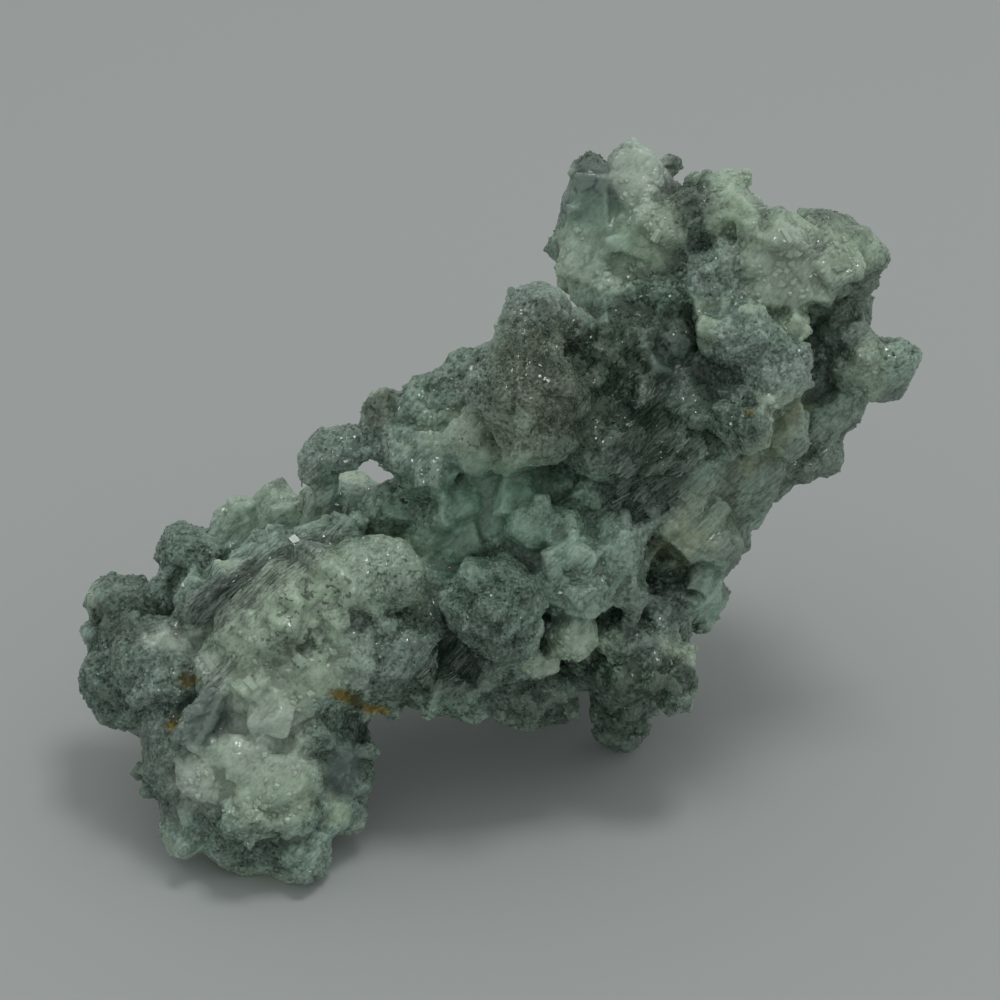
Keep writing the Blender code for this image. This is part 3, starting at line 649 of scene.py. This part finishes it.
def form_arrays(form):
    """The vertices and triangles of an edit mesh, as arrays."""
    bmesh.ops.triangulate(form, faces=form.faces)
    form.verts.index_update()
    places = np.array([vertex.co[:] for vertex in form.verts])
    corners = np.array([[vertex.index for vertex in face.verts] for face in form.faces])
    form.free()
    return places, corners


def prism_form(sides, taper, bevel):
    """A blunt crystal with its root down."""
    form = bmesh.new()
    bmesh.ops.create_cone(form, cap_ends=True, segments=sides, radius1=1, radius2=taper, depth=2)
    top = [edge for edge in form.edges if all(vertex.co.z > 0 for vertex in edge.verts)]
    if bevel:
        bmesh.ops.bevel(form, geom=top, offset=bevel, segments=1, affect="EDGES")
    return form_arrays(form)


def chip_form(corners):
    """An angular chip: the hull of a few points thrown on a ball."""
    form = bmesh.new()
    thrown = DICE.normal(size=(corners, 3))
    for place in thrown / np.linalg.norm(thrown, axis=1, keepdims=True):
        form.verts.new(place)
    hull = bmesh.ops.convex_hull(form, input=form.verts)
    bmesh.ops.delete(form, geom=hull["geom_interior"], context="VERTS")
    return form_arrays(form)


BLUNT_PRISMS = [
    prism_form(sides=4, taper=0.85, bevel=0.3),
    prism_form(sides=4, taper=0.7, bevel=0.2),
    prism_form(sides=5, taper=0.75, bevel=0.25),
]
NEEDLE = prism_form(sides=3, taper=0.6, bevel=0)
CHIP_KINDS, CHIP_CORNERS = 6, 8
CHIPS = [chip_form(CHIP_CORNERS) for _ in range(CHIP_KINDS)]
print([len(form[1]) for form in BLUNT_PRISMS + CHIPS], "triangles in the unit forms")

# %% Find the ground they grow from
FAN_SIZE = 4.0
AXIS_SEED, SIDE_SEED, CROWD_SEED = 40.0, 60.0, 20.0


def unit(vectors):
    return vectors / np.linalg.norm(vectors, axis=1, keepdims=True)


def fan_at(points, seed):
    """A direction that turns slowly over the stone."""
    return np.stack([noise_at(points, FAN_SIZE, seed + 3 * axis) for axis in range(3)], axis=1)


ground = skin_places[skin_corners].mean(axis=1)
ground_normals = unit(skin_normals[skin_corners].mean(axis=1))
ground_shares = skin_shares[skin_corners[:, 0]]
ground_crest = skin_crest[skin_corners[:, 0]]
print(len(ground), "places to grow from")

# %% [markdown]
# `scatter` is told how the crystals grow. `fan` and `loose` say how far they lean from the skin's
# normal, neighbours together and each its own way. `stands` is where a crystal's middle is, in half
# lengths above the skin, so below zero it is sunk. `gather` makes crowds and bare spots, and `lies`
# turns crystals from the normal to the fibres. Sizes are half sizes in millimetres.

# %% Scatter a form over the skin
LOOK_POWER = 4
CROWD_SIZE, CROWD_MEAN, CROWD_SPREAD, CROWD_LEAST = 4.5, 0.5, 2.5, 0.02
SIDE_LOOSE = 0.3
SIZE_SPREAD, SIZE_LEAST, SIZE_MOST = 0.35, 0.5, 1.5
FLATTEST = 0.5
TIP_CREST = 0.1


def grow(forms, middles, axes, sides, long, wide, flat):
    """Copies of the forms at these places, as one set of vertices and triangles."""
    others = np.cross(axes, sides)
    which = DICE.integers(len(forms), size=len(middles))
    places, corners, owners = [], [], []
    count = 0
    for number, (form, faces) in enumerate(forms):
        mine = np.flatnonzero(which == number)
        body = middles[mine, None, :] + form[None, :, 0:1] * (sides * wide[:, None])[mine, None, :]
        body = body + form[None, :, 1:2] * (others * flat[:, None])[mine, None, :]
        body = body + form[None, :, 2:3] * (axes * long[:, None])[mine, None, :]
        steps = count + np.arange(len(mine)) * len(form)
        places.append(body.reshape(-1, 3))
        corners.append((faces[None, :, :] + steps[:, None, None]).reshape(-1, 3))
        owners.append(np.repeat(mine, len(form)))
        count += len(mine) * len(form)
    return np.concatenate(places), np.concatenate(corners), np.concatenate(owners)


def scatter(name, forms, on_looks, many, long, wide, fan, loose, stands, gather, lies=0.0, tones=0.2):
    """Grows one kind of crystal where the named looks are, and paints it as its ground."""
    wanted = sum(ground_shares[:, LOOK_NAMES.index(look)] * much for look, much in on_looks.items())
    crowd = CROWD_MEAN + CROWD_SPREAD * noise_at(ground, CROWD_SIZE, CROWD_SEED + many * MM)
    chance = wanted**LOOK_POWER * np.clip(crowd, CROWD_LEAST, 1) ** gather
    chance *= ground[:, 2] > GROUND_CLEAR * MM
    picked = DICE.choice(len(chance), size=many, replace=False, p=chance / chance.sum())
    roots = ground[picked]
    lean = fan * fan_at(roots, AXIS_SEED) + loose * DICE.normal(size=(many, 3))
    normals = ground_normals[picked]
    flat_fibre = STREAK_ALONG - normals * (normals @ STREAK_ALONG)[:, None]
    axes = unit(normals * (1 - lies) + lean + unit(flat_fibre) * lies)
    aside = fan_at(roots, SIDE_SEED) + SIDE_LOOSE * loose * DICE.normal(size=(many, 3))
    sides = unit(np.cross(axes, aside))
    size = np.clip(DICE.lognormal(0, SIZE_SPREAD, many), SIZE_LEAST, SIZE_MOST) * MM
    flats = wide * size * DICE.uniform(FLATTEST, 1.0, many)
    middles = roots + axes * (long * size * stands)[:, None]
    places, corners, owners = grow(forms, middles, axes, sides, long * size, wide * size, flats)
    places[:, 2] = np.maximum(places[:, 2], 0)
    obj = mesh_object(name, places, corners)
    obj.data.polygons.foreach_set("use_smooth", np.zeros(len(corners), dtype=bool))
    tone = DICE.uniform(1 - tones, 1 + tones, many)[owners]
    crest = np.clip(ground_crest[picked] + TIP_CREST, -1, 1)[owners]
    paint(obj.data, ground_shares[picked][owners], tone, crest, np.zeros(len(owners)))
    print(name, len(corners), "triangles")
    return obj


# %% [markdown]
# Cloudy crystals sit close together where the prehnite is pale, and clear ones in the sea-green
# hollows. Both are rooted deep, so that only their tips show. Needles lie along the fibres of the
# silky ridges. The grey crust is grains of a third of a millimetre, half sunk, and the dull brown
# lumps carry the same grains without gloss.

# %% Grow the crystals
cloudy = scatter(
    "cloudy_crystals",
    BLUNT_PRISMS,
    {"white": 0.8, "pale": 1, "cream": 0.3, "light": 0.4},
    many=1100,
    long=0.6,
    wide=0.45,
    fan=1.0,
    loose=0.3,
    stands=-0.78,
    gather=2,
    tones=0.06,
)
clear = scatter(
    "clear_crystals",
    BLUNT_PRISMS,
    {"glass": 1, "smoke": 0.4, "light": 0.6, "green": 0.6},
    many=1100,
    long=0.62,
    wide=0.46,
    fan=0.7,
    loose=0.2,
    stands=-0.7,
    gather=2,
    tones=0.15,
)
needles = scatter(
    "silky_needles",
    [NEEDLE],
    {"silk": 0.7, "fibre": 1},
    many=2000,
    long=0.7,
    wide=0.09,
    fan=0.12,
    loose=0.03,
    stands=0.0,
    gather=0.3,
    lies=1.0,
    tones=0.25,
)
crust = scatter(
    "crust_grains",
    CHIPS,
    {"druse": 1, "light": 1, "green": 0.9, "pale": 0.35},
    many=11000,
    long=0.17,
    wide=0.15,
    fan=0.5,
    loose=0.8,
    stands=0.0,
    gather=0.5,
)
dull = scatter(
    "dull_grains",
    CHIPS,
    {"brown": 1, "slate": 0.6, "dark": 0.9, "rust": 0.3},
    many=8000,
    long=0.16,
    wide=0.14,
    fan=0.3,
    loose=0.8,
    stands=0.0,
    gather=0.5,
)

# %% [markdown]
# ## Shader maths in Python
#
# Nodes are quicker to read as formulas. This class stands for one output in a node tree: adding or
# multiplying two of them adds the Math node for it. Every other node comes from `node`.

# %% Wrap a socket
GRAIN_ROUGHNESS = 0.6


class Shade:
    """One output of a shader node, with the usual operators."""

    tree = None

    def __init__(self, socket):
        self.socket = socket

    @classmethod
    def node(cls, kind, settings=None, sockets=None, out=0):
        made = cls.tree.nodes.new("ShaderNode" + kind)
        for name, setting in (settings or {}).items():
            setattr(made, name, setting)
        for name, value in (sockets or {}).items():
            if isinstance(value, Shade):
                cls.tree.links.new(value.socket, made.inputs[name])
            else:
                made.inputs[name].default_value = value
        return cls(made.outputs[out]) if made.outputs else made

    @classmethod
    def maths(cls, operation, first, second):
        return cls.node("Math", {"operation": operation}, {0: first, 1: second})

    def __add__(self, other):
        return self.maths("ADD", self, other)

    def __radd__(self, other):
        return self.maths("ADD", other, self)

    def __sub__(self, other):
        return self.maths("SUBTRACT", self, other)

    def __rsub__(self, other):
        return self.maths("SUBTRACT", other, self)

    def __mul__(self, other):
        return self.maths("MULTIPLY", self, other)

    def __rmul__(self, other):
        return self.maths("MULTIPLY", other, self)


def stored(name):
    """A number kept in the mesh."""
    return Shade.node("Attribute", {"attribute_name": name}, out=2)


def stored_colour(name):
    return Shade.node("Attribute", {"attribute_name": name})


def vector_maths(operation, first, second):
    return Shade.node("VectorMath", {"operation": operation}, {0: first, 1: second})


def bumped(height, strength, depth, sockets):
    """A normal for bumps of this depth in millimetres."""
    sockets = {"Strength": strength, "Distance": depth * MM, "Height": height, **sockets}
    return Shade.node("Bump", None, sockets)


def scaled(vector, factor):
    """A colour or vector times a number."""
    return Shade.node("VectorMath", {"operation": "SCALE"}, {0: vector, "Scale": factor})


def own_places():
    """The place on the stone, in metres."""
    return Shade.node("TexCoord", out=3)


def grain(size, detail=3.0, places=None):
    """Noise from 0 to 1, with lumps of this size in millimetres."""
    sockets = {"Vector": places or own_places(), "Scale": 1 / (size * MM)}
    sockets.update({"Detail": detail, "Roughness": GRAIN_ROUGHNESS})
    return Shade.node("TexNoise", None, sockets)


def tiny_crystals(size):
    """A random colour for each cell of this size in millimetres."""
    return Shade.node("TexVoronoi", None, {"Vector": own_places(), "Scale": 1 / (size * MM)}, out=1)


def step(value, low, high):
    """0 below low, 1 above high, and smooth between them."""
    settings = {"interpolation_type": "SMOOTHSTEP"}
    return Shade.node("MapRange", settings, {"Value": value, "From Min": low, "From Max": high})


def blend(first, second, share):
    return Shade.node("Mix", {"data_type": "RGBA"}, {0: share, 6: first, 7: second}, out=2)


print("shader maths ready")

# %% [markdown]
# ## The stone's materials
#
# Light goes into prehnite and scatters there, which softens its shadows: that is subsurface
# scattering, with a reach of 1.4 mm. Where the stone is only crusted, the light stays on top, so
# the skin mixes two shaders by the cloudiness kept in the mesh. Its index of refraction is 1.63, a
# little above glass. Crystals too small to model tip the shading normal, one cell at a time, and
# flash as real ones do; a few of them are also lightened in the colour, a painted glint. Dark green
# dust lies in the creases, and the same green also paints shade there.

# %% Name the finishes
PREHNITE_IOR = 1.63
# This dark green is chlorite dust. In creases and hollows it is partly real dust and partly painted
# shade, in the specks real dust only.
DUST_AND_SHADE = (0.020, 0.040, 0.022, 1)
# This pale colour whitens the crests, and also paints glints on a few tiny crystals, a painted
# highlight.
FROST_AND_GLINT = (0.60, 0.70, 0.61, 1)
CLOUDY = {
    "Subsurface Weight": 0.8,
    "Subsurface Radius": (1.0, 1.05, 0.97),
    "Subsurface Scale": 1.4 * MM,
}
SEE_THROUGH = {"Transmission Weight": 0.35}
CLOUDY_SMALL = dict(CLOUDY, **{"Subsurface Weight": 0.5, "Subsurface Scale": 0.4 * MM})
TINY_CRYSTAL = 0.27
TINY_TILT = 1.3
FIBRE_WIDTH = 0.22
SKIN_MOTTLE, SKIN_MOTTLE_DETAIL = 0.6, 4.0
CRYSTAL_MOTTLE, CRYSTAL_MOTTLE_DETAIL = 0.5, 2.0
FINE_GRAIN = 0.15
SPECK_SIZE = 0.7
SPECK_FROM, SPECK_FULL = 0.54, 0.64
GLINT_FROM, GLINT_FULL = 0.85, 1.0
POLISH_FROM, POLISH_FULL = 0.6, 0.66
CREST_FROM, CREST_FULL = 0.2, 0.95
HOLLOW_FROM, HOLLOW_FULL = 0.05, 0.7

# %% Weigh the finishes
MOTTLE_TONE, MOTTLE_CLOUDED = 0.8, 0.45
STREAK_TONE = 3.6
CREST_FROST, CREST_CLOUDED = 0.10, 0.12
# A painted highlight: how far a few lucky tiny crystals are lightened towards the frost white.
PAINTED_GLINT_SHARE = 0.16
# How far creases and hollows go to the dark green, on the skin and on the crystals: partly real dust,
# partly painted shade, less on cloudy stone. The specks are real dust only.
SKIN_DUST_AND_SHADE, CRYSTAL_DUST_AND_SHADE, SPECK_DUST = 0.7, 0.5, 0.75
DUST_AND_SHADE_CLOUDED = 0.6
ROUGH_SPREAD = 0.3
POLISH_GLOSS = 0.75
SKIN_BUMP, SKIN_BUMP_DEPTH = 0.55, 0.11
BUMP_PLAIN, BUMP_CLOUDED = 0.4, 0.55
STREAK_BUMP = 3.0
CRYSTAL_TONE, CRYSTAL_TONE_SPREAD = 0.8, 0.6
CRYSTAL_ROUGH_SPREAD = 0.2
CRYSTAL_BUMP, CRYSTAL_BUMP_DEPTH = 0.25, 0.05
print("tiny crystals of", TINY_CRYSTAL, "mm, fibres of", FIBRE_WIDTH, "mm")


# %% Build the shaders
def new_material(name):
    material = bpy.data.materials.new(name)
    material.use_nodes = True
    Shade.tree = material.node_tree
    Shade.tree.nodes.clear()
    return material


def output(surface):
    Shade.node("OutputMaterial", None, {"Surface": surface})


def stone_shader(colour, rough, normal, extra):
    sockets = {"Base Color": colour, "Roughness": rough, "Normal": normal, "IOR": PREHNITE_IOR}
    sockets.update(extra)
    return Shade.node("BsdfPrincipled", None, sockets)


def tipped_normal(tiny, tilt):
    """The normal of the surface, tipped by each tiny crystal its own way."""
    straight = Shade.node("NewGeometry", out=1)
    aside = scaled(vector_maths("SUBTRACT", tiny, (0.5, 0.5, 0.5)), tilt)
    return vector_maths("NORMALIZE", vector_maths("ADD", straight, aside), (0, 0, 0))


def streak_noise(size):
    """Noise drawn out along the fibres."""
    places = own_places()
    fibre = tuple(STREAK_ALONG)
    reach = Shade.node("VectorMath", {"operation": "DOT_PRODUCT"}, {0: places, 1: fibre}, out=1)
    drawn = scaled(fibre, reach * STREAK_DRAW)
    return grain(size, 3.0, vector_maths("SUBTRACT", places, drawn))


def frost_dust_and_shade(colour, most):
    """Frost on the crests of cloudy stone, green dust and painted shade in the hollows."""
    crest, cloud = stored("crest"), stored("cloud")
    frost = step(crest, CREST_FROM, CREST_FULL) * (CREST_FROST + CREST_CLOUDED * cloud)
    # Hollows are darkened to the dust green: partly real dust, partly painted shade.
    dust = most * step(0 - crest, HOLLOW_FROM, HOLLOW_FULL) * (1 - DUST_AND_SHADE_CLOUDED * cloud)
    return blend(blend(colour, FROST_AND_GLINT, frost), DUST_AND_SHADE, dust)


def skin_colour(luck, mottle, fibres):
    """The looks' colour, mottled, streaked and speckled, with frost, painted glints, dust with painted
    shade, and specks on it.
    """
    cloud, speckle = stored("cloud"), stored("speckle")
    tone = 1 + (MOTTLE_TONE - MOTTLE_CLOUDED * cloud) * (mottle - 0.5) + speckle * (luck - 0.5)
    tone = tone + stored("streaks") * STREAK_TONE * (fibres - 0.5)
    colour = frost_dust_and_shade(scaled(stored_colour("look"), tone), SKIN_DUST_AND_SHADE)
    # Painted glints: a few lucky tiny crystals are lightened in the colour, a painted highlight.
    painted_glints = PAINTED_GLINT_SHARE * speckle * step(luck, GLINT_FROM, GLINT_FULL)
    specks = stored("specks") * step(grain(SPECK_SIZE), SPECK_FROM, SPECK_FULL)
    return blend(blend(colour, FROST_AND_GLINT, painted_glints), DUST_AND_SHADE, SPECK_DUST * specks)


def skin_normal(tiny, mottle, fibres, polished):
    """Grains and fibres between the tiny crystals, none of them on the polished ones."""
    sparkle, cloud = stored("sparkle"), stored("cloud")
    height = (BUMP_PLAIN + sparkle) * (1 - BUMP_CLOUDED * cloud) * (grain(FINE_GRAIN) + mottle)
    height = (height + stored("streaks") * STREAK_BUMP * fibres) * (1 - polished)
    tipped = tipped_normal(tiny, sparkle * TINY_TILT)
    return bumped(height, SKIN_BUMP, SKIN_BUMP_DEPTH, {"Normal": tipped})


def skin_material():
    material = new_material("prehnite_skin")
    mottle = grain(SKIN_MOTTLE, SKIN_MOTTLE_DETAIL)
    fibres = streak_noise(FIBRE_WIDTH)
    tiny = tiny_crystals(TINY_CRYSTAL)
    luck = Shade.node("SeparateColor", None, {0: tiny})
    shine = Shade.node("SeparateColor", None, {0: tiny}, out=1)
    polished = step(shine, POLISH_FROM, POLISH_FULL)
    rough = (stored("rough") + ROUGH_SPREAD * (luck - 0.5)) * (1 - POLISH_GLOSS * polished)
    colour = skin_colour(luck, mottle, fibres)
    normal = skin_normal(tiny, mottle, fibres, polished)
    crusted = stone_shader(colour, rough, normal, {})
    inside = stone_shader(colour, rough, normal, CLOUDY)
    output(Shade.node("MixShader", None, {0: stored("cloud"), 1: crusted, 2: inside}))
    return material


def crystal_material(name, gloss, extra):
    """Small crystals: their own tone, a little mottling, and flat faces that catch the light."""
    material = new_material(name)
    mottle = grain(CRYSTAL_MOTTLE, CRYSTAL_MOTTLE_DETAIL)
    tone = CRYSTAL_TONE + CRYSTAL_TONE_SPREAD * mottle
    # Crystals in hollows get the same dust green and painted shade as the skin.
    colour = frost_dust_and_shade(scaled(stored_colour("look"), tone), CRYSTAL_DUST_AND_SHADE)
    rough = stored("rough") * gloss + CRYSTAL_ROUGH_SPREAD * (mottle - 0.5)
    normal = bumped(grain(FINE_GRAIN), CRYSTAL_BUMP, CRYSTAL_BUMP_DEPTH, {})
    output(stone_shader(colour, rough, normal, extra))
    return material


def dress(obj, material):
    obj.data.materials.clear()
    obj.data.materials.append(material)


skin_finish = skin_material()
for skin in skins:
    dress(skin, skin_finish)
dress(cloudy, crystal_material("cloudy_prehnite", gloss=0.7, extra=CLOUDY_SMALL))
dress(clear, crystal_material("clear_prehnite", gloss=0.55, extra=SEE_THROUGH))
dress(needles, crystal_material("silky_prehnite", gloss=0.6, extra={}))
dress(crust, crystal_material("sparkling_crust", gloss=0.6, extra={}))
dress(dull, crystal_material("dull_crust", gloss=0.95, extra={}))
bpy.data.objects.remove(whole)
print(len(bpy.data.materials), "materials")

# %% [markdown]
# ## Floor and light
#
# A plain pale floor, and the soft light of an overcast day: a wide pale sky does most of it, which
# leaves only a soft dark pool below the stone. One lamp, above and a little to the right, lightens
# the tops and is what the flat faces flash back.

# %% Set the stage
FLOOR_TONE = (0.50, 0.52, 0.51, 1)
FLOOR_ROUGHNESS = 0.7
FLOOR_REACH = 3.0
SKY_TONE = (0.80, 0.84, 0.84, 1)
SKY_STRENGTH = 0.55
LAMP_SIZE = 0.17
LAMP_PLACE = Vector((0.11, 0.01, 0.65))
LAMP_AIM = Vector((0, 0, 0.03))
LAMP_WATTS = 0.80


def make_floor():
    mesh = bpy.data.meshes.new("floor")
    plane = bmesh.new()
    bmesh.ops.create_grid(plane, x_segments=1, y_segments=1, size=FLOOR_REACH)
    plane.to_mesh(mesh)
    plane.free()
    floor = bpy.data.objects.new("floor", mesh)
    bpy.context.scene.collection.objects.link(floor)
    material = new_material("floor")
    sockets = {"Base Color": FLOOR_TONE, "Roughness": FLOOR_ROUGHNESS}
    output(Shade.node("BsdfPrincipled", None, sockets))
    dress(floor, material)


def make_light():
    lamp = bpy.data.lights.new("window", "AREA")
    lamp.size = LAMP_SIZE
    lamp.energy = LAMP_WATTS
    holder = bpy.data.objects.new("window", lamp)
    holder.location = LAMP_PLACE
    holder.rotation_euler = (LAMP_AIM - LAMP_PLACE).to_track_quat("-Z", "Y").to_euler()
    bpy.context.scene.collection.objects.link(holder)
    sky = bpy.data.worlds.new("sky")
    sky.use_nodes = True
    sky.node_tree.nodes["Background"].inputs["Color"].default_value = SKY_TONE
    sky.node_tree.nodes["Background"].inputs["Strength"].default_value = SKY_STRENGTH
    bpy.context.scene.world = sky
    bpy.context.scene.view_settings.view_transform = "Standard"


make_floor()
make_light()
print("floor and light are set")

# %% [markdown]
# ## Join the pieces to the stone
#
# Every piece rides on the stone's one body, and the skin stands in for the plain solid, which is
# hidden.

# %% Finish
for piece in skins + [cloudy, clear, needles, crust, dull]:
    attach(piece, "root")
for skin in skins:
    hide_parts(NODE)
